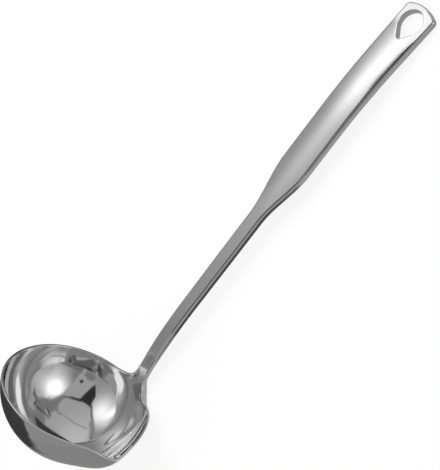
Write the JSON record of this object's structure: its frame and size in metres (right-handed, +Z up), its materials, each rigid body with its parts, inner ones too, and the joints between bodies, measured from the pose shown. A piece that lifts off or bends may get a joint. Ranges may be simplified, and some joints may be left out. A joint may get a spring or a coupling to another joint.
{
  "type": "sauce ladle",
  "caption": "One-piece polished steel sauce ladle: round bowl with a side pouring lip, narrow arm, flat handle with a teardrop hanging hole.",
  "frame": {"origin": "centre of the bounding box's bottom face, on the table it lies on", "axes": "+X from the bowl to the end of the handle, +Z up from the table, -Y the side of the pouring lip"},
  "size_m": [0.2724, 0.0788, 0.0713],
  "materials": {
    "polished_steel": "mirror polished stainless steel"
  },
  "bodies": {
    "root": {"ladle": "polished_steel"}
  },
  "joints": []
}
